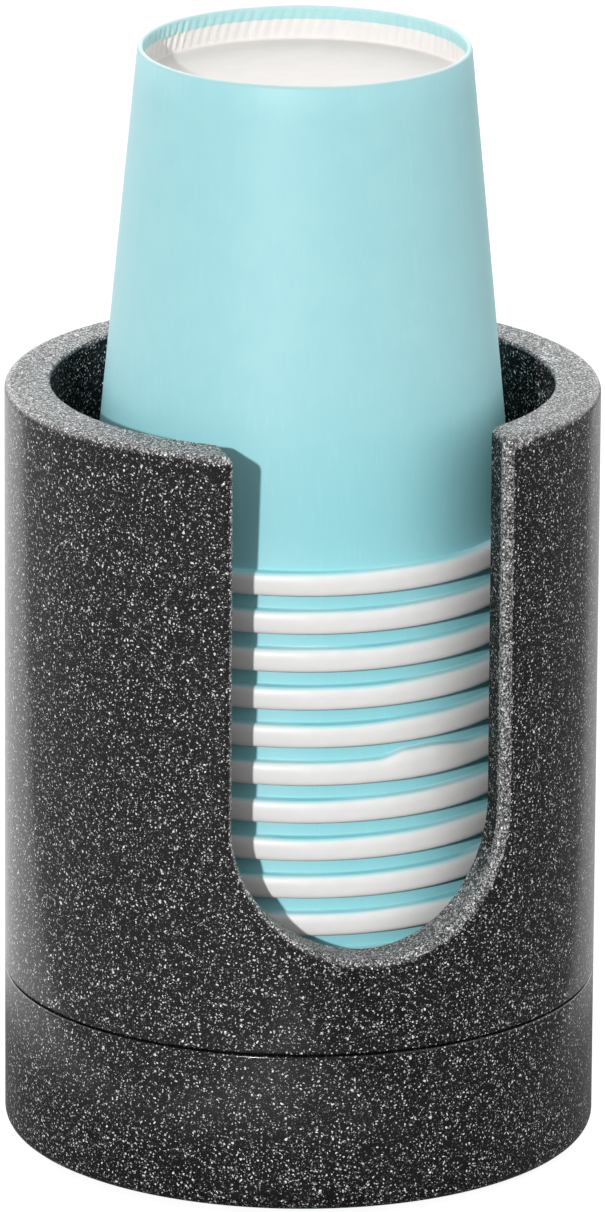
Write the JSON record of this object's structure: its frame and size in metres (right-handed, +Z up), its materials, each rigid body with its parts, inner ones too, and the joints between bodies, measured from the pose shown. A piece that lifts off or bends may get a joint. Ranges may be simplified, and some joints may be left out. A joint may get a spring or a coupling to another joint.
{
  "type": "countertop paper cup dispenser",
  "caption": "Round countertop cup dispenser: a slotted speckled-stone sleeve on a separate weighted base, holding a nested stack of inverted paper cups.",
  "frame": {"origin": "centre of the foot pad's underside, on the surface that the dispenser stands on", "axes": "+Z up along the common axis of the base, the sleeve and the cups; -Y out through the finger slot; +X to the right as seen from the slot side"},
  "size_m": [0.088, 0.088, 0.1662],
  "materials": {
    "sleeve_stone": "satin cast resin stone, charcoal with fine pale specks",
    "base_stone": "satin cast resin stone, charcoal with fine pale specks",
    "foot_pad": "matt closed-cell foam",
    "cup_paper": "turquoise printed cup paper, with a white coated rolled rim",
    "white_paper": "white coated cup paper"
  },
  "bodies": {
    "base": {"base": "base_stone", "foot_pad": "foot_pad"},
    "sleeve": {"sleeve": "sleeve_stone"},
    "cup_01": {"cup_01_wall": "cup_paper", "cup_01_bottom": "white_paper"},
    "cup_02": {"cup_02_wall": "cup_paper", "cup_02_bottom": "white_paper"},
    "cup_03": {"cup_03_wall": "cup_paper", "cup_03_bottom": "white_paper"},
    "cup_04": {"cup_04_wall": "cup_paper", "cup_04_bottom": "white_paper"},
    "cup_05": {"cup_05_wall": "cup_paper", "cup_05_bottom": "white_paper"},
    "cup_06": {"cup_06_wall": "cup_paper", "cup_06_bottom": "white_paper"},
    "cup_07": {"cup_07_wall": "cup_paper", "cup_07_bottom": "white_paper"},
    "cup_08": {"cup_08_wall": "cup_paper", "cup_08_bottom": "white_paper"},
    "cup_09": {"cup_09_wall": "cup_paper", "cup_09_bottom": "white_paper"},
    "cup_10": {"cup_10_wall": "cup_paper", "cup_10_bottom": "white_paper"},
    "cup_11": {"cup_11_wall": "cup_paper", "cup_11_bottom": "white_paper"},
    "cup_12": {"cup_12_wall": "cup_paper", "cup_12_bottom": "white_paper"}
  },
  "joints": [
    {"name": "sleeve_lift", "type": "slide", "parent": "base", "child": "sleeve", "axis": [0, 0, 1], "range_m": [0, 0.15]},
    {"name": "cup_01_lift", "type": "slide", "parent": "base", "child": "cup_01", "axis": [0, 0, 1], "range_m": [0, 0.09]},
    {"name": "cup_02_lift", "type": "slide", "parent": "cup_01", "child": "cup_02", "axis": [0, 0, 1], "range_m": [0, 0.09]},
    {"name": "cup_03_lift", "type": "slide", "parent": "cup_02", "child": "cup_03", "axis": [0, 0, 1], "range_m": [0, 0.09]},
    {"name": "cup_04_lift", "type": "slide", "parent": "cup_03", "child": "cup_04", "axis": [0, 0, 1], "range_m": [0, 0.09]},
    {"name": "cup_05_lift", "type": "slide", "parent": "cup_04", "child": "cup_05", "axis": [0, 0, 1], "range_m": [0, 0.09]},
    {"name": "cup_06_lift", "type": "slide", "parent": "cup_05", "child": "cup_06", "axis": [0, 0, 1], "range_m": [0, 0.09]},
    {"name": "cup_07_lift", "type": "slide", "parent": "cup_06", "child": "cup_07", "axis": [0, 0, 1], "range_m": [0, 0.09]},
    {"name": "cup_08_lift", "type": "slide", "parent": "cup_07", "child": "cup_08", "axis": [0, 0, 1], "range_m": [0, 0.09]},
    {"name": "cup_09_lift", "type": "slide", "parent": "cup_08", "child": "cup_09", "axis": [0, 0, 1], "range_m": [0, 0.09]},
    {"name": "cup_10_lift", "type": "slide", "parent": "cup_09", "child": "cup_10", "axis": [0, 0, 1], "range_m": [0, 0.09]},
    {"name": "cup_11_lift", "type": "slide", "parent": "cup_10", "child": "cup_11", "axis": [0, 0, 1], "range_m": [0, 0.09]},
    {"name": "cup_12_lift", "type": "slide", "parent": "cup_11", "child": "cup_12", "axis": [0, 0, 1], "range_m": [0, 0.09]}
  ]
}
